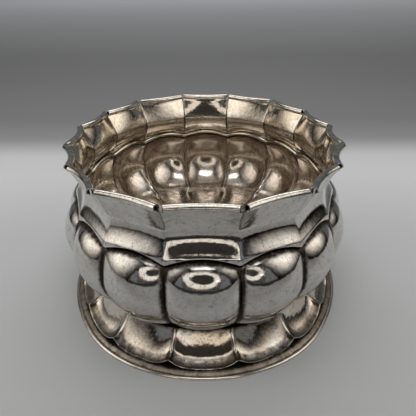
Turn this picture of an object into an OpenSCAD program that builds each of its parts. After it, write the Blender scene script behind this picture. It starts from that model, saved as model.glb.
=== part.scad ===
// Oval hand-raised silver sugar bowl: a lobed body under a fluted collar, a rim of
// short open rolls, and a lobed spreading foot on a narrow flange with an edge wire.
// Millimetres. +Z is up, +Y is the long axis, and the origin is under the centre of
// the oval, on the surface that the bowl stands on.

/* [Plan] */
// Half width of the oval, at the middle of the rim rolls
half_width = 58; // [50:0.5:70]
// Half length of the oval, at the middle of the rim rolls
half_length = 75.4; // [70:0.2:95]
// Radius of the oval's two end arcs
end_radius = 51.4; // [45:0.2:52]

/* [Sheet] */
// Thickness of the silver sheet
sheet = 0.6; // [0.5:0.05:0.9]

/* [Rim] */
// Height of the middle of the rim rolls above the table
rim_height = 65; // [60:0.5:75]
// Outer diameter of a rim roll
roll_diameter = 2.9; // [2:0.1:3.2]
// Bore of a rim roll
roll_bore = 1.8; // [1.4:0.1:2]
// How far the middle of each roll bows in from the oval
roll_bow = 3.2; // [2:0.1:3.6]
// Distance from a panel's corner to the end of its roll
roll_end_gap = 1.2; // [1:0.1:2]

/* [Collar] */
// Height of the lip's points above the table
lip_height = 43.9; // [41:0.1:46]
// How far the lip arches up in the middle of each panel
lip_arch = 2.6; // [1.5:0.1:4]
// How far the collar's waist stands in from the oval, along the ridges
waist_inset = 5.6; // [4.5:0.1:6]
// How far the waist stands in from the oval in the middle of each panel
waist_middle_inset = 7; // [6:0.1:8]
// Height of the waist above the table
waist_height = 54.5; // [52:0.5:57]

/* [Body] */
// How far the middle of each lobe stands out from the oval
lobe_out = 3.0; // [1.5:0.1:4]
// How far the crease between two lobes stands in from the oval, where it is fullest
crease_inset = 0.4; // [0:0.1:2]
// Level of the fullest part of the lobes, as a share of their height from the top
lobe_level = 0.42; // [0.35:0.01:0.55]
// How far the lobes' bottom edge stands in from the oval
lobe_bottom_inset = 10.3; // [9:0.1:12]
// How far the creases' lower ends stand in from the oval
crease_bottom_inset = 10.9; // [9.5:0.1:12.5]
// Height of the flat bottom above the table
bottom_height = 12.4; // [10:0.2:14]

/* [Foot] */
// Height of the foot's edge at the corners between two scallops
foot_corner_height = 4.5; // [3.5:0.1:5.5]
// Height of the foot's edge in the middle of each scallop
foot_scallop_height = 2.1; // [2:0.1:3]
// How far the foot's corners stand in from the oval
foot_corner_inset = 2.1; // [1.8:0.1:3]
// How far the middle of each scallop stands in from the oval
foot_scallop_inset = 1.8; // [1.4:0.1:2.4]
// How far the flange stands out from the oval
flange_out = 1.9; // [1.5:0.1:2.5]
// Width of the half-round wire on the flange's edge
wire_width = 1.8; // [1.4:0.1:2]

/* [Hidden] */
panels = 16;
panel_ids = [for (i = [1:panels]) i];
roll_names = [for (i = panel_ids) str("rim_roll_", i < 10 ? "0" : "", i)];

silver = [0.82, 0.80, 0.76];
toned_silver = [0.72, 0.68, 0.62];

// The oval has two end arcs and two side arcs that meet smoothly.
end_centre = half_length - end_radius;
side_step = half_width - end_radius;
side_centre = (end_centre * end_centre - side_step * side_step) / (2 * side_step);
side_radius = half_width + side_centre;
side_half_angle = atan2(end_centre, side_centre);
end_half_angle = 90 - side_half_angle;
end_half_length = end_radius * end_half_angle * PI / 180;
side_half_length = side_radius * side_half_angle * PI / 180;
perimeter = 4 * (end_half_length + side_half_length);

// Direction of the outward normal, in degrees from -Y towards +X, at a distance along the oval
function heading(s) = lookup(s, [
    [0, 0],
    [end_half_length, end_half_angle],
    [perimeter / 2 - end_half_length, 180 - end_half_angle],
    [perimeter / 2 + end_half_length, 180 + end_half_angle],
    [perimeter - end_half_length, 360 - end_half_angle],
    [perimeter, 360]
]);
function is_end(h) = h < end_half_angle || h > 360 - end_half_angle || abs(h - 180) < end_half_angle;
function arc_centre(h) = is_end(h)
    ? [0, (h > 90 && h < 270) ? end_centre : -end_centre]
    : [h < 180 ? -side_centre : side_centre, 0];
function arc_radius(h) = is_end(h) ? end_radius : side_radius;

// A point in plan: k counts panels from the front centre towards +X, out is outward from the oval
function wrap(k) = k < 0 ? k + panels : k >= panels ? k - panels : k;
function plan_at(h, out) = arc_centre(h) + (arc_radius(h) + out) * [sin(h), -cos(h)];
function plan(k, out) = plan_at(heading(wrap(k) / panels * perimeter), out);
function space(k, profile_point) = concat(plan(k, profile_point[0]), [profile_point[1]]);

// Across a panel, u runs from -1 at one corner to 1 at the next. Stops crowd towards the corners.
u_stops = [-1, -0.9, -0.62, -0.3, 0, 0.3, 0.62, 0.9];
stations = [for (i = [0:panels - 1]) for (u = u_stops) [i + u / 2, u]];
function across(corner, middle, u) = corner + (middle - corner) * (1 - u * u);

// Triangles between two rows of points, each once round the oval
around = len(stations);
function band(low, high) = [for (i = [0:around - 1]) let (j = (i + 1) % around)
    each [[low + i, high + i, high + j], [low + i, high + j, low + j]]];
function fan(row, pole, up) = [for (i = [0:around - 1]) let (j = (i + 1) % around)
    up ? [row + j, row + i, pole] : [row + i, row + j, pole]];

// A closed section, carried round the oval
module loft(section) {
    rows = len(section(0));
    points = [for (n = [0:rows - 1]) for (s = stations) space(s[0], section(s[1])[n])];
    faces = [for (n = [0:rows - 1]) each band(n * around, ((n + 1) % rows) * around)];
    polyhedron(points, faces);
}

// ---- Collar ----
roll_radius = roll_diameter / 2;
// The collar's top edge touches the roll at this angle from the outward direction
roll_seat_angle = 236;
collar_top = rim_height + roll_radius * sin(roll_seat_angle);
collar_top_out = roll_radius * cos(roll_seat_angle);
collar_levels = [0.07, 0.16, 0.26, 0.38, 0.52, 0.7, 0.86, 1];
ledge_corner_inset = 3.3;
ledge_middle_inset = 5.2;
ledge_drop = 0.9;
// Below the waist the collar spreads at a growing slope, up to a limit that is lower along the ridges
lower_flare = 0.056;
ridge_slope = 0.36;
panel_slope = 0.9;
upper_curl = 1.4;
// Rise of the top edge from its outer to its inner face, which keeps it clear of the roll
top_bevel = 0.38;

function lip_z(u) = across(lip_height, lip_height + lip_arch, u);
function collar_z(v, u) = lip_z(u) + (collar_top - lip_z(u)) * v;
function rim_rise(z) = pow(max(0, (z - waist_height) / (collar_top - waist_height)), upper_curl);
function flare(z, u) = let (drop = max(0, waist_height - z),
        slope = across(ridge_slope, panel_slope, u),
        curved = min(drop, slope / lower_flare / 2))
    lower_flare * pow(curved, 2) + slope * (drop - curved);
// Panels are nearly flat across at the waist and bowed in at the rim
function collar_out(z, u) = flare(z, u) + across(
    -waist_inset + (collar_top_out + waist_inset) * rim_rise(z),
    -waist_middle_inset + (collar_top_out - roll_bow + waist_middle_inset) * rim_rise(z),
    u);

function ledge_out(u) = across(-ledge_corner_inset, -ledge_middle_inset, u);

function collar_section(u) = concat(
    [[ledge_out(u), lip_z(u) - ledge_drop], [collar_out(lip_z(u), u), lip_z(u)]],
    [for (v = collar_levels) [collar_out(collar_z(v, u), u), collar_z(v, u)]],
    [for (n = [len(collar_levels) - 1:-1:0]) let (v = collar_levels[n])
        [collar_out(collar_z(v, u), u) - sheet, collar_z(v, u) + (v == 1 ? top_bevel : 0)]],
    [[ledge_out(u) - sheet, lip_z(u) - ledge_drop]]);

module collar() {
    color(silver) loft(function(u) collar_section(u));
}

// ---- Rim rolls ----
// One open tube along a panel's top edge, bowed in towards the bowl
module rim_roll(i) {
    start = plan(i - 0.5, 0);
    end = plan(i + 0.5, 0);
    chord = norm(end - start);
    middle = plan(i, -roll_bow);
    sagitta = norm(middle - (start + end) / 2);
    bow_radius = chord * chord / (8 * sagitta) + sagitta / 2;
    inward = (middle - (start + end) / 2) / sagitta;
    bow_centre = middle - inward * bow_radius;
    half_angle = asin(chord / 2 / bow_radius) - roll_end_gap / bow_radius * 180 / PI;
    color(silver)
        translate([bow_centre[0], bow_centre[1], rim_height])
            rotate(atan2(inward[1], inward[0]) - half_angle)
                rotate_extrude(angle = 2 * half_angle, $fn = 360)
                    translate([bow_radius, 0])
                        difference() {
                            circle(d = roll_diameter, $fn = 32);
                            circle(d = roll_bore, $fn = 32);
                        }
}

// ---- Body ----
body_levels = [0, 0.04, 0.13, 0.27, 0.42, 0.57, 0.7, 0.82, 0.92, 1];
seat_inset = 13.5;
bottom_step = 0.55;
corner_rise = 1.2;

function lobe_z(t, u) = let (top = lip_z(u) - ledge_drop,
        bottom = bottom_height + across(2 * corner_rise, corner_rise, u))
    top + (bottom - top) * t;
function above(t) = max(0, (lobe_level - t) / lobe_level);
function below(t) = max(0, (t - lobe_level) / (1 - lobe_level));
// Outward place of a swelling curve: an elliptic shoulder over a tapering lower part
function swell(t, top, full, bottom) = t < lobe_level
    ? top + (full - top) * sqrt(1 - pow(above(t), 2))
    : bottom + (full - bottom) * pow(1 - pow(below(t), 1.7), 0.72);
function lobe_out_at(t, u) = across(
    swell(t, -ledge_corner_inset, -crease_inset, -crease_bottom_inset),
    swell(t, -ledge_middle_inset, lobe_out, -lobe_bottom_inset),
    u);
// The inner face's height against the outer one's, which keeps the sheet's thickness on the slopes
function inner_shift(t) = t == 0 ? 0 : sheet * (pow(below(t), 2) - above(t));

function body_section(u) = concat(
    [[-seat_inset, bottom_height]],
    [for (n = [len(body_levels) - 1:-1:0]) let (t = body_levels[n])
        [lobe_out_at(t, u), lobe_z(t, u)]],
    [for (t = body_levels)
        [lobe_out_at(t, u) - sheet, lobe_z(t, u) + inner_shift(t)]],
    [[-seat_inset - sheet, bottom_height + sheet]]);

module bowl_body() {
    rows = len(body_section(0));
    walls = [for (n = [0:rows - 1]) for (s = stations) space(s[0], body_section(s[1])[n])];
    under = [for (s = stations) concat(plan(s[0], -seat_inset) * bottom_step, [bottom_height])];
    floor_row = [for (s = stations)
        concat(plan(s[0], -seat_inset - sheet) * bottom_step, [bottom_height + sheet])];
    points = concat(walls, under, floor_row,
        [[0, 0, bottom_height], [0, 0, bottom_height + sheet]]);
    last = (rows - 1) * around;
    under_row = rows * around;
    inner_row = (rows + 1) * around;
    poles = (rows + 2) * around;
    faces = concat(
        [for (n = [0:rows - 2]) each band(n * around, (n + 1) * around)],
        band(under_row, 0),
        band(last, inner_row),
        fan(under_row, poles, false),
        fan(inner_row, poles + 1, true));
    color(toned_silver) polyhedron(points, faces);
}

// ---- Foot ----
foot_levels = [0, 0.2, 0.42, 0.68, 1];
foot_top_inset = 10.5;
foot_curl = 2.1;
foot_seat_inset = 15.5;
// Width of the flat under the foot's edge, which rests on the flange
edge_flat = 0.8;

// Across a panel of the foot: nearly level, and steep beside the ridges
function fluted(corner, middle, u) = corner + (middle - corner) * (1 - pow(u, 4));
// The foot's hollow curve runs from an upright neck to a spreading edge
function foot_reach(v, edge) = -foot_top_inset + (foot_top_inset - edge) * v;
function foot_out(v, u) = fluted(
    foot_reach(v, foot_corner_inset), foot_reach(v, foot_scallop_inset), u);
function foot_fall(v, edge) = edge + (bottom_height - edge) * pow(1 - v, foot_curl);
function foot_z(v, u) = fluted(
    foot_fall(v, foot_corner_height), foot_fall(v, foot_scallop_height), u);
function foot_section(u) = concat(
    [[foot_out(1, u), foot_z(1, u) - sheet]],
    [for (n = [len(foot_levels) - 1:-1:0]) let (v = foot_levels[n]) [foot_out(v, u), foot_z(v, u)]],
    [[-foot_seat_inset, bottom_height], [-foot_seat_inset, bottom_height - sheet]],
    [for (v = foot_levels) if (v < 1)
        [foot_out(v, u) - sheet, foot_z(v, u) - sheet]],
    [[foot_out(1, u) - edge_flat, foot_z(1, u) - sheet]]);

module foot() {
    color(silver) loft(function(u) foot_section(u));
}

// ---- Flange and wire ----
flange_inner_inset = 5;
flange_sheet = 0.7;
flange_rise = foot_scallop_height - sheet;
wire_radius = wire_width / 2;
wire_middle = flange_out - wire_radius;
// The wire's inner side is filed flat here, where the flange's edge meets it
flat_angle = 124;
wire_flat = wire_middle + wire_radius * cos(flat_angle);

// Ring under the foot's edge, level where the scallops rest on it and sloping down outside them
module foot_flange() {
    section = [
        [-flange_inner_inset, flange_rise - flange_sheet],
        [-foot_scallop_inset, flange_rise - flange_sheet],
        [wire_flat, 0],
        [wire_flat, flange_sheet],
        [-foot_scallop_inset, flange_rise],
        [-flange_inner_inset, flange_rise]
    ];
    color(toned_silver) loft(function(u) section);
}

// Half-round wire on the flange's edge, flat side down
module foot_wire() {
    steps = 6;
    crown = [for (n = [0:steps]) let (a = flat_angle * n / steps)
        [wire_middle + wire_radius * cos(a), wire_radius * sin(a)]];
    section = concat([[wire_flat, 0]], crown);
    color(silver) loft(function(u) section);
}

bowl_body();
collar();
for (i = [0:panels - 1]) rim_roll(i);
foot();
foot_flange();
foot_wire();
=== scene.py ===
"""Silver sugar bowl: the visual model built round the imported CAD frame, in its frame and in metres."""

import math

import bpy
import numpy as np
from mathutils import Matrix, Vector, noise


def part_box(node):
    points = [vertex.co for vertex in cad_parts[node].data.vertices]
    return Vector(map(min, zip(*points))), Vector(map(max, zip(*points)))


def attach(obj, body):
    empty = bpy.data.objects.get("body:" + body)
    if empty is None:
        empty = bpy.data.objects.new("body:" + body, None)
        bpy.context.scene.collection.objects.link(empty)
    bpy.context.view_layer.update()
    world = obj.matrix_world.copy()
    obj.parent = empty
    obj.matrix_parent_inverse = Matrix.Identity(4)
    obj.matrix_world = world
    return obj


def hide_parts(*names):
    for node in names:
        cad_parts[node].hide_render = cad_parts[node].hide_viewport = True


MM = 0.001
PANELS = 16

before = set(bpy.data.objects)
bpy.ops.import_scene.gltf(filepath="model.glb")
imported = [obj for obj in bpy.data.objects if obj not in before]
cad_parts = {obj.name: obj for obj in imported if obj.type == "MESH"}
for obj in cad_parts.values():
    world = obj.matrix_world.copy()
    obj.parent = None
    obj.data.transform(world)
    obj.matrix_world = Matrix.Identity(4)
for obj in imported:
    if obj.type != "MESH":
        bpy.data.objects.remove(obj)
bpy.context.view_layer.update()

# ---------------------------------------------------------------- plan of the oval, in mm
ROLL_R, ROLL_SHEET, ROLL_BOW, ROLL_END = 1.45, 0.55, 3.2, 1.2
FLANGE_OUT = 1.9
rolls_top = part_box("rim_roll_01")[1].z / MM
wire_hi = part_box("foot_wire")[1]
RIM_Z = rolls_top - ROLL_R
HALF_W = wire_hi.x / MM - FLANGE_OUT
HALF_L = wire_hi.y / MM - FLANGE_OUT
END_R = 51.4

end_c = HALF_L - END_R
side_step = HALF_W - END_R
side_c = (end_c * end_c - side_step * side_step) / (2 * side_step)
side_r = HALF_W + side_c
side_a = math.atan2(end_c, side_c)
end_a = math.pi / 2 - side_a
end_len, side_len = END_R * end_a, side_r * side_a
ARC_S = np.cumsum([0, end_len, 2 * side_len, 2 * end_len, 2 * side_len, end_len])
ARC_T = np.cumsum([0, end_a, 2 * side_a, 2 * end_a, 2 * side_a, end_a])


def plan(k, out):
    """Points of the oval's offset curves: k counts panels from the front centre towards +X."""
    k = np.mod(k, PANELS)
    s = k / PANELS * ARC_S[-1]
    turn = np.interp(s, ARC_S, ARC_T)
    arc = np.searchsorted(ARC_S[1:-1], s, side="right")
    cx = np.choose(arc, [0, -side_c, 0, side_c, 0])
    cy = np.choose(arc, [-end_c, 0, end_c, 0, -end_c])
    r = np.choose(arc, [END_R, side_r, END_R, side_r, END_R]) + out
    return cx + r * np.sin(turn), cy - r * np.cos(turn)


def place(k, out, z):
    x, y = plan(k, out)
    return np.stack([x, y, z + 0 * x], axis=-1)


def corner_distance(u, soft=0.035):
    """|u| with a small round at the corners, so that a ridge isn't a knife edge."""
    d = 1 - np.abs(u)
    top = math.sqrt(1 + soft * soft) - soft
    return 1 - (np.sqrt(d * d + soft * soft) - soft) / top


def across(corner, middle, u):
    return corner + (middle - corner) * (1 - corner_distance(u) ** 2)


# ---------------------------------------------------------------- mesh tools
def stations(n, crowd=1.0):
    """Places round the oval: n a panel, crowded towards the corners."""
    w = np.linspace(-1, 1, n, endpoint=False)
    u = np.sign(w) * (1 - (1 - np.abs(w)) ** crowd)
    k = np.arange(PANELS)[:, None] + u[None] / 2
    return k.ravel(), np.tile(u, PANELS)


def hand_made(points, amount=0.11, size=17.0):
    """The slow unevenness of raised sheet: each point moves a little in plan, the same for every piece."""
    moved = points.reshape(-1, 3).copy()
    for p in moved:
        n = noise.noise_vector(Vector(p / size))
        p[0] += amount * n.x
        p[1] += amount * n.y
    return moved.reshape(points.shape)


def fluted(corner, middle, u):
    return corner + (middle - corner) * (1 - corner_distance(u) ** 4)


def planish(points, outward, depth, size):
    """Small shallow hammer facets, along the given directions."""
    flat = points.reshape(-1, 3)
    ways = outward.reshape(-1, 3)
    push = np.empty(len(flat))
    for i, p in enumerate(flat):
        near = noise.voronoi(Vector(p / size))[0]
        push[i] = near[0] * near[0] - 0.2
    return (flat + ways * (push * depth)[:, None]).reshape(points.shape)


def normals_of(rows):
    """Directions across a grid of points, rows by stations closed round the oval."""
    du = np.roll(rows, -1, axis=1) - np.roll(rows, 1, axis=1)
    dv = np.gradient(rows, axis=0)
    n = np.cross(du, dv)
    return n / np.maximum(np.linalg.norm(n, axis=-1, keepdims=True), 1e-9)


def grid_faces(rows, cols, close_rows, start=0):
    faces = []
    for r in range(rows if close_rows else rows - 1):
        a, b = start + r * cols, start + (r + 1) % rows * cols
        for c in range(cols):
            d = (c + 1) % cols
            faces.append((a + c, a + d, b + d, b + c))
    return faces


def build(name, points, faces, materials, attributes=None, sharp=38):
    """A mesh in the frame. The along attribute is the way round the oval, for brushed marks that follow it."""
    mesh = bpy.data.meshes.new(name)
    flat = np.asarray(points)
    attributes = {**(attributes or {}), "along": np.unwrap(np.arctan2(flat[:, 0], -flat[:, 1])) * 0.06}
    mesh.from_pydata([tuple(p) for p in np.asarray(points) * MM], [], faces)
    for key, values in attributes.items():
        layer = mesh.attributes.new(key, "FLOAT", "POINT")
        layer.data.foreach_set("value", np.asarray(values, np.float32).ravel())
    mesh.polygons.foreach_set("use_smooth", [True] * len(mesh.polygons))
    mesh.set_sharp_from_angle(angle=math.radians(sharp))
    for m in materials:
        mesh.materials.append(m)
    mesh.validate()
    obj = bpy.data.objects.new(name, mesh)
    bpy.context.scene.collection.objects.link(obj)
    return obj


def volume(points, faces):
    p = np.asarray(points)
    total = 0.0
    for f in faces:
        for i in range(1, len(f) - 1):
            total += np.dot(p[f[0]], np.cross(p[f[i]], p[f[i + 1]]))
    return total


def outward_faces(points, faces):
    return faces if volume(points, faces) > 0 else [tuple(reversed(f)) for f in faces]


# ---------------------------------------------------------------- materials
def silver(name, bright, warm, dark, rough, toning, planished, inside=False):
    """Old polished silver: warm toning in clouds, dark where its attribute for tarnish and shade is high, fine wear;
    that attribute holds real tarnish in places and painted shade in others.
    """
    m = bpy.data.materials.new(name)
    m.use_nodes = True
    t = m.node_tree
    t.nodes.clear()
    out = t.nodes.new("ShaderNodeOutputMaterial")
    bsdf = t.nodes.new("ShaderNodeBsdfPrincipled")
    bsdf.inputs["Metallic"].default_value = 1.0
    t.links.new(bsdf.outputs[0], out.inputs[0])
    coord = t.nodes.new("ShaderNodeTexCoord")
    place_at = coord.outputs["Object"]

    def clouds(scale, detail, roughness, distortion=0.0, where=None):
        n = t.nodes.new("ShaderNodeTexNoise")
        n.inputs["Scale"].default_value = scale
        n.inputs["Detail"].default_value = detail
        n.inputs["Roughness"].default_value = roughness
        n.inputs["Distortion"].default_value = distortion
        t.links.new(where or place_at, n.inputs["Vector"])
        return n.outputs["Fac"]

    def span(value, lo, hi, to_lo, to_hi):
        r = t.nodes.new("ShaderNodeMapRange")
        r.inputs["From Min"].default_value = lo
        r.inputs["From Max"].default_value = hi
        r.inputs["To Min"].default_value = to_lo
        r.inputs["To Max"].default_value = to_hi
        t.links.new(value, r.inputs["Value"])
        return r.outputs["Result"]

    def math_of(kind, a, b=None):
        n = t.nodes.new("ShaderNodeMath")
        n.operation = kind
        for socket, value in zip(n.inputs, (a, b), strict=False):
            if value is None:
                continue
            if isinstance(value, (int, float)):
                socket.default_value = value
            else:
                t.links.new(value, socket)
        return n.outputs[0]

    def mix(amount, a, b):
        n = t.nodes.new("ShaderNodeMix")
        n.data_type = "RGBA"
        t.links.new(amount, n.inputs["Factor"])
        for socket, value in ((n.inputs["A"], a), (n.inputs["B"], b)):
            if isinstance(value, tuple):
                socket.default_value = (*value, 1)
            else:
                t.links.new(value, socket)
        return n.outputs["Result"]

    # Per-point darkening from the mesh: real tarnish in places, painted shade in others.
    tarnish_and_shade = t.nodes.new("ShaderNodeAttribute")
    tarnish_and_shade.attribute_name = "tarnish_and_shade"
    tarnish_and_shade = tarnish_and_shade.outputs["Fac"]

    big = clouds(55, 5, 0.62, 0.6)
    fine = clouds(420, 6, 0.7)
    specks = clouds(1500, 3, 0.6)
    round_oval = t.nodes.new("ShaderNodeAttribute")
    round_oval.attribute_name = "along"
    split = t.nodes.new("ShaderNodeSeparateXYZ")
    t.links.new(place_at, split.inputs[0])
    brushed = t.nodes.new("ShaderNodeCombineXYZ")
    t.links.new(math_of("MULTIPLY", round_oval.outputs["Fac"], 240.0), brushed.inputs["X"])
    t.links.new(math_of("MULTIPLY", split.outputs["Z"], 1900.0), brushed.inputs["Y"])
    t.links.new(math_of("MULTIPLY", split.outputs["Y"], 240.0), brushed.inputs["Z"])
    strokes = clouds(1.0, 4, 0.65, 0.0, brushed.outputs[0])

    tone_amount = span(big, 0.36, 0.68, 0.0, toning)
    toned = mix(tone_amount, bright, warm)
    # Tarnish and painted shade, given a ragged border by fine noise.
    ragged_tarnish_and_shade = math_of("ADD", tarnish_and_shade, span(fine, 0.3, 0.7, -0.26, 0.26))
    dirt_and_shade = span(ragged_tarnish_and_shade, 0.2, 0.95, 0.0, 1.0)
    speck = span(math_of("MULTIPLY", specks, fine), 0.21, 0.42, 0.0, 0.62)
    stroke = span(strokes, 0.42, 0.72, 0.0, 0.72 if inside else 0.58)
    cover = math_of("MAXIMUM", dirt_and_shade, math_of("MAXIMUM", speck, stroke))
    colour = mix(cover, toned, dark)
    t.links.new(colour, bsdf.inputs["Base Color"])

    gloss = math_of("ADD", span(big, 0.3, 0.7, rough, rough * 2.6), span(specks, 0.4, 0.7, 0.0, rough * 0.9))
    t.links.new(math_of("ADD", gloss, math_of("MULTIPLY", dirt_and_shade, 0.36)), bsdf.inputs["Roughness"])

    hammer = t.nodes.new("ShaderNodeTexVoronoi")
    hammer.feature = "SMOOTH_F1"
    hammer.inputs["Scale"].default_value = 640
    hammer.inputs["Smoothness"].default_value = 0.35
    t.links.new(place_at, hammer.inputs["Vector"])
    first = t.nodes.new("ShaderNodeBump")
    first.inputs["Strength"].default_value = planished
    first.inputs["Distance"].default_value = 0.00003
    t.links.new(hammer.outputs["Distance"], first.inputs["Height"])
    second = t.nodes.new("ShaderNodeBump")
    second.inputs["Strength"].default_value = planished * 0.8
    second.inputs["Distance"].default_value = 0.000008
    t.links.new(strokes, second.inputs["Height"])
    t.links.new(first.outputs[0], second.inputs["Normal"])
    t.links.new(second.outputs[0], bsdf.inputs["Normal"])
    return m


BRIGHT = (0.86, 0.85, 0.83)
WARM = (0.66, 0.61, 0.54)
DARK = (0.045, 0.036, 0.028)
m_outside = silver("silver_outside", BRIGHT, WARM, DARK, 0.022, 0.7, 0.6)
m_inside = silver("silver_inside", (0.95, 0.89, 0.82), (0.76, 0.66, 0.57), DARK, 0.06, 1.0, 0.9, inside=True)
m_collar = silver("silver_collar", BRIGHT, WARM, DARK, 0.018, 0.6, 0.6)
m_collar_in = silver("silver_collar_inside", (0.95, 0.90, 0.81), (0.78, 0.67, 0.53), DARK, 0.035, 1.0, 0.8, inside=True)
# The rim's near-black dark colour serves the painted shade inside the rolls and along their seams, as well as specks
# and strokes.
m_rim = silver("silver_rim", (0.92, 0.90, 0.85), WARM, (0.02, 0.017, 0.014), 0.05, 0.4, 0.35)
m_foot = silver("silver_foot", (0.86, 0.84, 0.80), (0.70, 0.58, 0.45), DARK, 0.03, 0.9, 0.7)
m_flange = silver("silver_flange", (0.72, 0.66, 0.58), (0.50, 0.42, 0.33), DARK, 0.10, 0.9, 0.6)
m_wire = silver("silver_wire", (0.88, 0.86, 0.81), (0.64, 0.56, 0.46), DARK, 0.06, 0.7, 0.4)

# ---------------------------------------------------------------- collar
SHEET = 0.6
SEAT = math.radians(236)
TOP_Z = RIM_Z + ROLL_R * math.sin(SEAT)
TOP_OUT = ROLL_R * math.cos(SEAT)
LIP_Z, LIP_ARCH = 43.9, 2.6
WAIST_CORNER_IN, WAIST_MIDDLE_IN, WAIST_Z = 5.6, 7.0, 54.5
LEDGE_CORNER_IN, LEDGE_MIDDLE_IN, LEDGE_DROP = 3.3, 5.2, 1.1
RIDGE_FLARE, PANEL_FLARE, RIDGE_ROOM, PANEL_ROOM = 0.040, 0.056, 3.2, 3.5
UPPER_CURL = 1.22


def lip_z(u):
    return across(LIP_Z, LIP_Z + LIP_ARCH, u)


def collar_out(z, u):
    """Panels nearly flat across at the waist and bowed in at the rim, spreading below the waist to an upright lip."""
    rise = np.clip((z - WAIST_Z) / (TOP_Z - WAIST_Z), 0, 1) ** UPPER_CURL
    corner = -WAIST_CORNER_IN + (TOP_OUT + WAIST_CORNER_IN) * rise
    middle = -WAIST_MIDDLE_IN + (TOP_OUT - ROLL_BOW + WAIST_MIDDLE_IN) * rise
    drop = np.clip(WAIST_Z - z, 0, 99)
    flare = across(RIDGE_FLARE, PANEL_FLARE, u) * drop**2
    room = across(RIDGE_ROOM, PANEL_ROOM, u)
    return across(corner, middle, u) + (flare + room - np.sqrt((flare - room) ** 2 + 0.10)) / 2


def collar_rows(k, u):
    """(points, tarnish and painted shade, inside) of the closed section, from under the lip, up the outside and down
    the inside.
    """
    lip = lip_z(u)
    edge = collar_out(lip, u)
    ledge = across(-LEDGE_CORNER_IN, -LEDGE_MIDDLE_IN, u)
    rows, stain_and_shade, inner = [], [], []

    def add(out, z, tarnish_and_shade, is_inside):
        rows.append(place(k, out, z))
        stain_and_shade.append(np.clip(tarnish_and_shade + 0 * u, 0, 1))
        inner.append(is_inside)

    from_corner = 1 - np.abs(u)
    beside_ridge = np.clip(1 - np.abs(from_corner - 0.055) / 0.03, 0, 1)
    # Painted shade under the lip: the ledge and the lip's underside are painted dark.
    add(ledge, lip - LEDGE_DROP, 1.0, False)
    add((edge + ledge) / 2, lip - 0.8, 1.0, False)
    for out, down, dark in ((-0.35, 0.5, 0.9), (-0.04, 0.38, 0.15), (0.08, 0.22, 0.0), (0.07, 0.06, 0.0)):
        add(edge + out, lip - down, dark, False)
    levels = np.linspace(0.012, 1, 46)
    for v in levels:
        # Painted shade just under the rim roll; a darker strip beside each ridge and a darker line near the lip.
        shade_under_roll = 0.75 * max(0, (v - 0.95) / 0.05)
        foot_line = 0.35 * max(0, 1 - abs(v - 0.05) / 0.05)
        z = lip + (TOP_Z - lip) * v
        add(collar_out(z, u), z, 0.4 * beside_ridge + shade_under_roll + foot_line, False)
    for v in levels[::-1]:
        lift = 0.3 if v == 1 else 0.0
        # Darker along the inside creases at the panel corners, near the bottom and in a band at mid height.
        darker_at_crease = np.clip(1 - from_corner / 0.05, 0, 1)
        low = np.clip((0.06 - v) / 0.05, 0, 1)
        middle = 0.5 * math.exp(-(((v - 0.45) / 0.2) ** 2))
        z = lip + (TOP_Z - lip) * v
        add(collar_out(z, u) - SHEET, z + lift, 0.9 * darker_at_crease + 0.9 * low + middle, True)
    inner_edge, bead_end = edge - SHEET, ledge - SHEET - 0.05
    for part, up, dark in ((0.08, -0.05, 1.0), (0.3, 0.16, 0.15), (0.55, 0.2, 0.0), (0.8, -0.02, 0.0), (0.96, -0.45, 0.0)):
        add(inner_edge + (bead_end - inner_edge) * part, lip + up, dark, True)
    add(ledge - SHEET, lip - LEDGE_DROP, 0.7, True)
    return np.array(rows), np.array(stain_and_shade), inner


def add_collar():
    k, u = stations(40, 1.25)
    rows, stain_and_shade, inner = collar_rows(k, u)
    cols = len(k)
    rows = hand_made(rows)
    rows = planish(rows, normals_of(rows), 0.034, 2.6)
    points = rows.reshape(-1, 3)
    faces = outward_faces(points, grid_faces(len(rows), cols, True))
    obj = build("collar_sheet", points, faces, [m_collar, m_collar_in], {"tarnish_and_shade": stain_and_shade})
    where = np.repeat([1 if x else 0 for x in inner], cols)
    obj.data.polygons.foreach_set("material_index", where[: len(faces)])
    return obj


# ---------------------------------------------------------------- body
LOBE_OUT, CREASE_IN, LOBE_LEVEL = 3.0, 0.8, 0.42
LOBE_NECK, CREASE_NECK, BOTTOM_Z, SEAT_IN = 10.3, 10.9, 12.4, 13.5
SQUARE, SOFT = 2.2, 0.75
CORNER_RISE = 1.2


def fullness(u, round_off):
    g = 1 - np.abs(u) ** SQUARE
    return ((g + np.sqrt(g * g + round_off * round_off)) / 2) ** SOFT


def lobe_z(t, u):
    top = lip_z(u) - LEDGE_DROP
    bottom = BOTTOM_Z + across(2 * CORNER_RISE, CORNER_RISE, u)
    return top + (bottom - top) * t


def swell(t, top, full, bottom):
    """Outward place of a swelling curve: an elliptic shoulder over a tapering lower part."""
    a = np.clip((LOBE_LEVEL - t) / LOBE_LEVEL, 0, 1)
    b = np.clip((t - LOBE_LEVEL) / (1 - LOBE_LEVEL), 0, 1)
    upper = top + (full - top) * np.sqrt(1 - a * a)
    lower = bottom + (full - bottom) * (1 - b**1.7) ** 0.72
    return np.where(t < LOBE_LEVEL, upper, lower)


def lobe(t, u, round_off):
    crease = swell(t, -LEDGE_CORNER_IN, -CREASE_IN, -CREASE_NECK)
    middle = swell(t, -LEDGE_MIDDLE_IN, LOBE_OUT, -LOBE_NECK)
    return crease + (middle - crease) * fullness(u, round_off)


def lobe_levels(n_up, n_down):
    up = LOBE_LEVEL * (1 - np.cos(np.linspace(0, math.pi / 2, n_up, endpoint=False)))
    w = np.linspace(0, 1, n_down)
    down = LOBE_LEVEL + (1 - LOBE_LEVEL) * (1 - (1 - w) ** 1.5)
    return np.concatenate([up, down])


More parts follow.
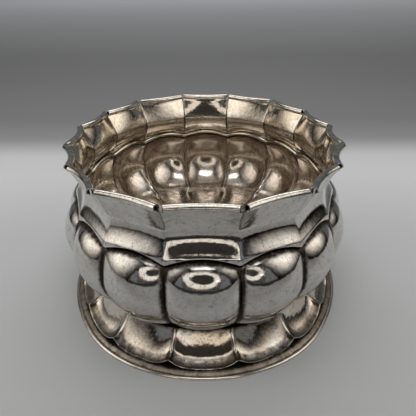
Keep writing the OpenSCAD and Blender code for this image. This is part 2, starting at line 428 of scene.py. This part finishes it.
def add_body():
    k, u = stations(44, 1.5)
    levels = lobe_levels(20, 30)
    rows, stain_and_shade = [], []

    def add(out, z, tarnish_and_shade):
        rows.append(place(k, out, z))
        stain_and_shade.append(np.clip(tarnish_and_shade + 0 * u, 0, 1))

    side = np.abs(u)
    # Darker towards the creases: partly tarnish in the creases, partly painted shade that widens their dark band.
    groove = np.clip((side - 0.85) / 0.12, 0, 1)
    beside_rib = np.clip((side - 0.84) / 0.06, 0, 1) * np.clip((0.975 - side) / 0.02, 0, 1)
    add(-SEAT_IN + 0 * u, BOTTOM_Z + 0 * u, 0.4)
    for t in levels[::-1]:
        # Painted shade under the lip's overhang at the lobe tops, and painted shade where the lobes tuck in at the
        # neck.
        shade_under_lip = max(0.0, 1 - t / 0.045) + 0.45 * max(0.0, 1 - t / 0.16)
        shade_at_neck = np.clip((t - 0.93) / 0.07, 0, 1) ** 1.5
        tone = 0.9 * groove + 0.28 * np.clip((side - 0.6) / 0.3, 0, 1) + shade_under_lip + shade_at_neck
        add(lobe(t + 0 * u, u, 0.004), lobe_z(t, u), tone)
    for t in levels:
        below = max(0.0, (t - LOBE_LEVEL) / (1 - LOBE_LEVEL))
        above = max(0.0, (LOBE_LEVEL - t) / LOBE_LEVEL)
        shift = 0.0 if t == 0 else SHEET * (below**2 - above)
        top = 0.9 * max(0.0, 1 - t / 0.05)
        add(lobe(t + 0 * u, u, 0.01) - SHEET, lobe_z(t, u) + shift, 0.4 * beside_rib + top + 0.5 * below**3)
    add(-SEAT_IN - SHEET + 0 * u, BOTTOM_Z + SHEET + 0 * u, 0.2)
    rows = np.array(rows)
    rows = hand_made(rows)
    rows[1:-1] = planish(rows[1:-1], normals_of(rows)[1:-1], 0.03, 2.6)
    n_rows, cols = len(rows), len(k)
    points = list(rows.reshape(-1, 3))
    faces = grid_faces(n_rows, cols, False)
    tarnish_and_shade = list(np.array(stain_and_shade).ravel())
    for share in (0.75, 0.5, 0.25):
        for inset, z in ((SEAT_IN, BOTTOM_Z), (SEAT_IN + SHEET, BOTTOM_Z + SHEET)):
            x, y = plan(k, -inset)
            points += [np.array(p) for p in zip(x * share, y * share, z + 0 * x, strict=True)]
            tarnish_and_shade += [0.45] * cols
    ring = n_rows * cols
    for step in range(3):
        for side in (0, 1):
            outer = (0 if side == 0 else (n_rows - 1) * cols) if step == 0 else ring + (2 * (step - 1) + side) * cols
            inner_ring = ring + (2 * step + side) * cols
            for c in range(cols):
                d = (c + 1) % cols
                quad = (inner_ring + c, inner_ring + d, outer + d, outer + c)
                faces.append(quad if side == 0 else quad[::-1])
    for side, z in ((0, BOTTOM_Z), (1, BOTTOM_Z + SHEET)):
        pole = len(points)
        points.append(np.array([0.0, 0.0, z]))
        tarnish_and_shade.append(0.3)
        last = ring + (4 + side) * cols
        for c in range(cols):
            d = (c + 1) % cols
            tri = (pole, last + d, last + c)
            faces.append(tri if side == 0 else tri[::-1])
    flipped = outward_faces(points, faces)
    obj = build("bowl_lobes", points, flipped, [m_outside, m_inside], {"tarnish_and_shade": tarnish_and_shade})
    split = len(levels)
    inner_start = (split + 1) * cols
    index = [1 if min(f) >= inner_start and min(f) < ring or all(v >= inner_start for v in f) else 0 for f in flipped]
    for i, f in enumerate(flipped):
        if min(f) >= ring or max(f) >= ring:
            index[i] = 1 if abs(points[max(f)][2] - BOTTOM_Z - SHEET) < 0.01 else 0
    obj.data.polygons.foreach_set("material_index", index)
    return obj


# ---------------------------------------------------------------- rim rolls
def add_roll(i, cad_name):
    """The sheet's edge rolled outward over nearly a whole turn, open at both ends."""
    rng = np.random.default_rng(100 + i)
    corners = [np.array(plan(np.array([i - 0.5]), 0.0)).ravel(), np.array(plan(np.array([i + 0.5]), 0.0)).ravel()]
    mid = np.array(plan(np.array([float(i)]), -ROLL_BOW)).ravel()
    half_way = (corners[0] + corners[1]) / 2
    chord = np.linalg.norm(corners[1] - corners[0])
    sagitta = np.linalg.norm(mid - half_way)
    radius = chord * chord / (8 * sagitta) + sagitta / 2
    inward = (mid - half_way) / sagitta
    centre = mid - inward * radius
    half = math.asin(chord / 2 / radius) - ROLL_END / radius
    base = math.atan2(inward[1], inward[0])
    sheet, steps, turns = ROLL_SHEET, 30, 54
    start, sweep = SEAT, -math.radians(rng.uniform(312, 326))
    edge_at = rng.uniform(0.80, 0.84)
    rows, stain_and_shade = [], []
    for a in np.linspace(-half, half, steps):
        way = np.array([math.cos(base + a), math.sin(base + a)])
        ring, dark = [], []
        wobble = 0.05 * noise.noise(Vector((i * 3.1, a * radius / 5, 0.0)))
        for side in (0, 1):
            order = range(turns + 1) if side == 0 else range(turns, -1, -1)
            for n in order:
                angle = start + sweep * n / turns
                past_edge = n / turns > edge_at
                r = (ROLL_R - 0.02 if side == 0 else ROLL_R - sheet) - (0.3 if past_edge else 0.0) + wobble * n / turns
                out, up = r * math.cos(angle), r * math.sin(angle)
                spot = centre + way * (radius - out)
                ring.append((spot[0], spot[1], RIM_Z + up))
                # Painted shade along the seam where the rolled edge ends, a little beyond it under the overlap, and
                # over the whole inside of the roll.
                at_edge = abs(n / turns - edge_at) < 1.2 / turns
                dark.append((1.0 if at_edge else 0.25 * past_edge) if side == 0 else 1.0)
        rows.append(ring)
        stain_and_shade.append(dark)
    rows = np.array(rows)
    cols = rows.shape[1]
    points = hand_made(rows.reshape(-1, 3))
    faces = []
    for r in range(steps - 1):
        for c in range(cols):
            d = (c + 1) % cols
            faces.append((r * cols + c, (r + 1) * cols + c, (r + 1) * cols + d, r * cols + d))
    for r, turn in ((0, 1), (steps - 1, -1)):
        for n in range(turns):
            quad = (r * cols + n, r * cols + n + 1, r * cols + cols - 2 - n, r * cols + cols - 1 - n)
            faces.append(quad[::turn])
    faces = outward_faces(points, faces)
    obj = build("rim_" + cad_name[-2:], points, faces, [m_rim], {"tarnish_and_shade": stain_and_shade}, sharp=50)
    return obj


# ---------------------------------------------------------------- foot, flange and wire
FOOT_CORNER_Z, FOOT_SCALLOP_Z, FOOT_CURL = 4.5, 2.1, 2.1
FOOT_TOP, FOOT_CORNER, FOOT_SCALLOP = 10.5, 2.1, 1.8


def foot_out(v, u):
    return fluted(-FOOT_TOP + (FOOT_TOP - FOOT_CORNER) * v, -FOOT_TOP + (FOOT_TOP - FOOT_SCALLOP) * v, u)


def foot_z(v, u):
    fall = (1 - v) ** FOOT_CURL
    corner = FOOT_CORNER_Z + (BOTTOM_Z - FOOT_CORNER_Z) * fall
    return fluted(corner, FOOT_SCALLOP_Z + (BOTTOM_Z - FOOT_SCALLOP_Z) * fall, u)


def add_foot():
    k, u = stations(40, 1.35)
    levels = np.linspace(0, 1, 26) ** 0.85
    rows, stain_and_shade = [], []

    def add(out, z, tarnish_and_shade):
        rows.append(place(k, out, z + 0 * u))
        stain_and_shade.append(np.clip(tarnish_and_shade + 0 * u, 0, 1))

    side = np.abs(u)
    ridge = np.clip((side - 0.87) / 0.05, 0, 1) * np.clip((0.985 - side) / 0.02, 0, 1)
    tip = foot_out(1.0, u)
    tip_z = foot_z(1.0, u)
    # Painted shade under the foot's edge.
    add(tip - 0.8, tip_z - SHEET, 1.0)
    add(tip - 0.1, tip_z - SHEET, 0.9)
    add(tip + 0.06, tip_z - SHEET * 0.75, 0.25)
    add(tip + 0.12, tip_z - SHEET * 0.35, 0.0)
    add(tip + 0.04, tip_z - 0.04, 0.0)
    for v in levels[::-1][1:]:
        # Painted shade at the top of the foot, under the lobes; darker beside the ridges and over the lower part of
        # each panel.
        shade_at_neck = max(0.0, 1 - v / 0.10)
        low = 0.72 * max(0.0, min(1.0, (v - 0.52) / 0.16)) * min(1.0, (1 - v) / 0.045)
        add(foot_out(v, u), foot_z(v, u), 0.6 * ridge + shade_at_neck + low)
    add(-15.5 + 0 * u, BOTTOM_Z, 1.0)
    add(-15.5 + 0 * u, BOTTOM_Z - SHEET, 0.6)
    for v in levels[:-1]:
        add(foot_out(v, u) - SHEET, foot_z(v, u) - SHEET, 0.45)
    rows = np.array(rows)
    rows = hand_made(rows)
    rows = planish(rows, normals_of(rows), 0.03, 2.6)
    points = rows.reshape(-1, 3)
    faces = outward_faces(points, grid_faces(len(rows), len(k), True))
    return build("foot_lobed", points, faces, [m_foot], {"tarnish_and_shade": stain_and_shade})


WIRE_R = 0.9
WIRE_MID = FLANGE_OUT - WIRE_R
FLAT = math.radians(124)
WIRE_FLAT = WIRE_MID + WIRE_R * math.cos(FLAT)
FLANGE_RISE = FOOT_SCALLOP_Z - SHEET


def add_ring(name, section, stains_and_shade, material, per_panel=16):
    k, u = stations(per_panel)
    rows = np.array([place(k, out + 0 * u, z + 0 * u) for out, z in section])
    rows = hand_made(rows, 0.07)
    points = rows.reshape(-1, 3)
    stain_and_shade = np.repeat(np.array(stains_and_shade, float), len(k))
    faces = outward_faces(points, grid_faces(len(section), len(k), True))
    return build(name, points, faces, [material], {"tarnish_and_shade": stain_and_shade})


def add_flange():
    high = FLANGE_RISE
    top = [(-5.0, high), (-3.4, high), (-1.9, high), (-1.4, high - 0.05), (-0.9, high - 0.18), (-0.4, high - 0.4), (0.1, 0.86), (0.32, 0.76), (WIRE_FLAT, 0.7)]
    low = [(o, z - 0.7) for o, z in top[::-1]]
    low[0] = (WIRE_FLAT, 0.0)
    # Painted shade under the foot's scalloped edge, fading outward; darker again where the flange meets the wire.
    stains_and_shade = [1.0, 1.0, 1.0, 0.85, 0.62, 0.58, 0.6, 0.7, 1.0] + [0.5] * len(low)
    return add_ring("flange_ring", top + low, stains_and_shade, m_flange)


def add_wire():
    steps = 14
    crown = [(WIRE_MID + WIRE_R * math.cos(FLAT * n / steps), WIRE_R * math.sin(FLAT * n / steps)) for n in range(steps + 1)]
    stains_and_shade = [0.3, 0.1] + [0.0] * (steps - 2) + [0.3, 0.7]
    return add_ring("flange_wire", [(WIRE_FLAT, 0.0), *crown], stains_and_shade, m_wire, 20)


def fit_piece(obj, slot, *nodes):
    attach(obj, "root")
    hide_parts(*nodes)


fit_piece(add_body(), "silver_body", "bowl_body")
fit_piece(add_collar(), "silver_collar", "collar")
for number in range(PANELS):
    node_name = f"rim_roll_{number + 1:02d}"
    fit_piece(add_roll(number, node_name), "silver_rim", node_name)
fit_piece(add_foot(), "silver_foot", "foot")
fit_piece(add_flange(), "silver_flange", "foot_flange")
fit_piece(add_wire(), "silver_wire", "foot_wire")


# ---------------------------------------------------------------- floor, light and camera
def emitter(name, colour, strength, soft_x=0.2, soft_y=0.2, low=0.85, ovals=()):
    """A light panel's face, a little cloudy, fading out over soft_x and soft_y of its width and height.

    Each of ovals is (x, y, half width, half height, share of the light inside, share outside), in metres.
    """
    m = bpy.data.materials.new(name)
    m.use_nodes = True
    t = m.node_tree
    t.nodes.clear()
    out = t.nodes.new("ShaderNodeOutputMaterial")
    light = t.nodes.new("ShaderNodeEmission")
    light.inputs["Color"].default_value = (*colour, 1)
    coord = t.nodes.new("ShaderNodeTexCoord")

    def span(value, lo, hi, to_lo, to_hi, kind="SMOOTHSTEP"):
        r = t.nodes.new("ShaderNodeMapRange")
        r.interpolation_type = kind
        r.inputs["From Min"].default_value = lo
        r.inputs["From Max"].default_value = hi
        r.inputs["To Min"].default_value = to_lo
        r.inputs["To Max"].default_value = to_hi
        t.links.new(value, r.inputs["Value"])
        return r.outputs["Result"]

    def times(a, b):
        n = t.nodes.new("ShaderNodeMath")
        n.operation = "MULTIPLY"
        t.links.new(a, n.inputs[0])
        t.links.new(b, n.inputs[1])
        return n.outputs[0]

    cloud = t.nodes.new("ShaderNodeTexNoise")
    cloud.inputs["Scale"].default_value = 5
    t.links.new(coord.outputs["Object"], cloud.inputs["Vector"])
    power = span(cloud.outputs["Fac"], 0.35, 0.6, strength * low, strength)
    split = t.nodes.new("ShaderNodeSeparateXYZ")
    t.links.new(coord.outputs["Generated"], split.inputs[0])
    for axis, soft in (("X", soft_x), ("Y", soft_y)):
        rising = span(split.outputs[axis], 0.0, soft, 0.0, 1.0)
        falling = span(split.outputs[axis], 1.0 - soft, 1.0, 1.0, 0.0)
        power = times(power, times(rising, falling))
    for x, y, rx, ry, within, beyond in ovals:
        oval = t.nodes.new("ShaderNodeMapping")
        oval.inputs["Location"].default_value = (-x / rx, -y / ry, 0)
        oval.inputs["Scale"].default_value = (1 / rx, 1 / ry, 0)
        t.links.new(coord.outputs["Object"], oval.inputs["Vector"])
        length = t.nodes.new("ShaderNodeVectorMath")
        length.operation = "LENGTH"
        t.links.new(oval.outputs[0], length.inputs[0])
        power = times(power, span(length.outputs["Value"], 0.95, 1.05, within, beyond))
    t.links.new(power, light.inputs["Strength"])
    t.links.new(light.outputs[0], out.inputs[0])
    return m


AIM = Vector((0, 0, 0.04))


def facing(azimuth, elevation, distance):
    """A frame at that direction from the bowl, looking back at it. Azimuth 0 is +Y and 90 is +X."""
    a, e = math.radians(azimuth), math.radians(elevation)
    way = Vector((math.sin(a) * math.cos(e), math.cos(a) * math.cos(e), math.sin(e)))
    turn = way.to_track_quat("Z", "Y").to_matrix().to_4x4()
    return Matrix.Translation(AIM + way * distance) @ turn


def panel(name, azimuth, elevation, distance, width, height, material):
    mesh = bpy.data.meshes.new(name)
    w, h = width / 2, height / 2
    mesh.from_pydata([(-w, -h, 0), (w, -h, 0), (w, h, 0), (-w, h, 0)], [], [(0, 1, 2, 3)])
    mesh.materials.append(material)
    obj = bpy.data.objects.new(name, mesh)
    obj.matrix_world = facing(azimuth, elevation, distance)
    obj.visible_camera = False
    bpy.context.scene.collection.objects.link(obj)
    return obj


CREAM = (1.0, 0.93, 0.84)
RING = ((0.0, 0.0, 0.225, 0.18, 1.0, 0.10), (0.015, -0.004, 0.138, 0.10, 0.04, 1.0))
side_light = emitter("side_light", CREAM, 1.55, soft_x=0.46, soft_y=0.46)
front_light = emitter("front_light", CREAM, 1.1, soft_x=0.05, soft_y=0.05, ovals=RING)
high_light = emitter("high_light", (1.0, 0.97, 0.93), 3.0, soft_x=0.3, soft_y=0.3)
spot_light = emitter("spot_light", (1.0, 1.0, 1.0), 4.0)
back_light = emitter("back_light", (1.0, 0.96, 0.90), 1.7, soft_x=0.25, soft_y=0.2)

panel("light_right", 96, 34, 0.52, 0.84, 0.80, side_light)
panel("light_left", 266, 30, 0.52, 0.90, 0.84, side_light)
panel("light_front", 183, 25, 0.42, 0.50, 0.38, front_light)
panel("light_high", 180, 67, 0.55, 0.40, 0.20, high_light)
panel("light_spot", 157, 17, 0.40, 0.035, 0.035, spot_light)
panel("light_behind", 0, 62, 0.60, 0.90, 0.62, back_light)

soft = bpy.data.lights.new("overhead", "AREA")
soft.shape = "RECTANGLE"
soft.size, soft.size_y = 0.8, 0.7
soft.energy = 3.9
overhead = bpy.data.objects.new("overhead", soft)
overhead.location = (0.0, 0.14, 0.8)
overhead.visible_glossy = False
bpy.context.scene.collection.objects.link(overhead)

wash = bpy.data.lights.new("backdrop_wash", "AREA")
wash.shape = "RECTANGLE"
wash.size, wash.size_y = 2.4, 0.8
wash.energy = 7.0
backdrop_wash = bpy.data.objects.new("backdrop_wash", wash)
backdrop_wash.location = (0.0, 2.1, 0.8)
backdrop_wash.visible_glossy = False
bpy.context.scene.collection.objects.link(backdrop_wash)

world = bpy.data.worlds.new("studio")
bpy.context.scene.world = world
world.use_nodes = True
wt = world.node_tree
wt.nodes.clear()
w_out = wt.nodes.new("ShaderNodeOutputWorld")
w_bg = wt.nodes.new("ShaderNodeBackground")
w_coord = wt.nodes.new("ShaderNodeTexCoord")
w_split = wt.nodes.new("ShaderNodeSeparateXYZ")
w_rise = wt.nodes.new("ShaderNodeValToRGB")
w_rise.color_ramp.elements[0].color = (0.165, 0.172, 0.178, 1)
w_rise.color_ramp.elements[1].color = (0.40, 0.365, 0.33, 1)
w_rise.color_ramp.elements[0].position = 0.3
w_depth = wt.nodes.new("ShaderNodeMapRange")
w_depth.inputs["From Min"].default_value = -0.2
w_depth.inputs["From Max"].default_value = 0.7
w_depth.inputs["To Min"].default_value = 1.0
w_depth.inputs["To Max"].default_value = 0.7
wt.links.new(w_coord.outputs["Generated"], w_split.inputs[0])
wt.links.new(w_split.outputs["Z"], w_rise.inputs["Fac"])
wt.links.new(w_split.outputs["Y"], w_depth.inputs["Value"])
wt.links.new(w_rise.outputs["Color"], w_bg.inputs["Color"])
wt.links.new(w_depth.outputs["Result"], w_bg.inputs["Strength"])
wt.links.new(w_bg.outputs[0], w_out.inputs[0])


# Painted light and shade on the floor: grey by distance along Y, in metres.
FLOOR_PAINTED_LIGHT = (
    (-0.45, 0.03), (-0.31, 0.04), (-0.28, 0.50), (-0.24, 0.40), (-0.13, 0.38), (-0.09, 0.52), (0.03, 0.58),
    (0.12, 0.69), (0.16, 0.66), (0.20, 0.32), (0.26, 0.25), (0.45, 0.26), (1.2, 0.46),
)


def floor_material():
    """Pale matt board, painted lighter and darker along Y: painted light falling away behind the object, a painted pool
    of light just behind it, painted shade in front of it, and nearly black behind the camera.
    """
    m = bpy.data.materials.new("floor_board")
    m.use_nodes = True
    t = m.node_tree
    bsdf = t.nodes["Principled BSDF"]
    bsdf.inputs["Roughness"].default_value = 0.6
    bsdf.inputs["Specular IOR Level"].default_value = 0.15
    coord = t.nodes.new("ShaderNodeTexCoord")
    split = t.nodes.new("ShaderNodeSeparateXYZ")
    far = t.nodes.new("ShaderNodeMapRange")
    far.inputs["From Min"].default_value = -0.6
    far.inputs["From Max"].default_value = 1.4
    ramp = t.nodes.new("ShaderNodeValToRGB")
    stops = tuple(((y + 0.6) / 2.0, tone) for y, tone in FLOOR_PAINTED_LIGHT)
    while len(ramp.color_ramp.elements) < len(stops):
        ramp.color_ramp.elements.new(0.5)
    for element, (at, grey) in zip(ramp.color_ramp.elements, stops, strict=True):
        element.position = at
        element.color = (grey * 0.935, grey * 0.985, grey * 1.045, 1)
    t.links.new(coord.outputs["Object"], split.inputs[0])
    t.links.new(split.outputs["Y"], far.inputs["Value"])
    t.links.new(far.outputs["Result"], ramp.inputs["Fac"])
    t.links.new(ramp.outputs["Color"], bsdf.inputs["Base Color"])
    return m


floor_mesh = bpy.data.meshes.new("floor")
floor_mesh.from_pydata([(-3, -3, 0), (3, -3, 0), (3, 3, 0), (-3, 3, 0)], [], [(0, 1, 2, 3)])
floor_mesh.materials.append(floor_material())
floor = bpy.data.objects.new("floor", floor_mesh)
bpy.context.scene.collection.objects.link(floor)

camera = bpy.data.cameras.new("camera")
camera.lens, camera.sensor_width = 45.0, 36.0
camera.shift_x = 0.0075
camera.clip_start, camera.clip_end = 0.01, 50
cam = bpy.data.objects.new("camera", camera)
bpy.context.scene.collection.objects.link(cam)
look, tilt, roll = math.radians(0.745), math.radians(25.26), math.radians(-0.513)
forward = Vector((-math.sin(look) * math.cos(tilt), math.cos(look) * math.cos(tilt), -math.sin(tilt)))
right = Vector((math.cos(look), math.sin(look), 0))
up = right.cross(forward)
right, up = right * math.cos(roll) + up * math.sin(roll), up * math.cos(roll) - right * math.sin(roll)
basis = Matrix((right, up, -forward)).transposed().to_4x4()
cam.matrix_world = Matrix.Translation((0.0029, -0.2165, 0.1329)) @ basis
bpy.context.scene.camera = cam
bpy.context.scene.view_settings.view_transform = "Standard"
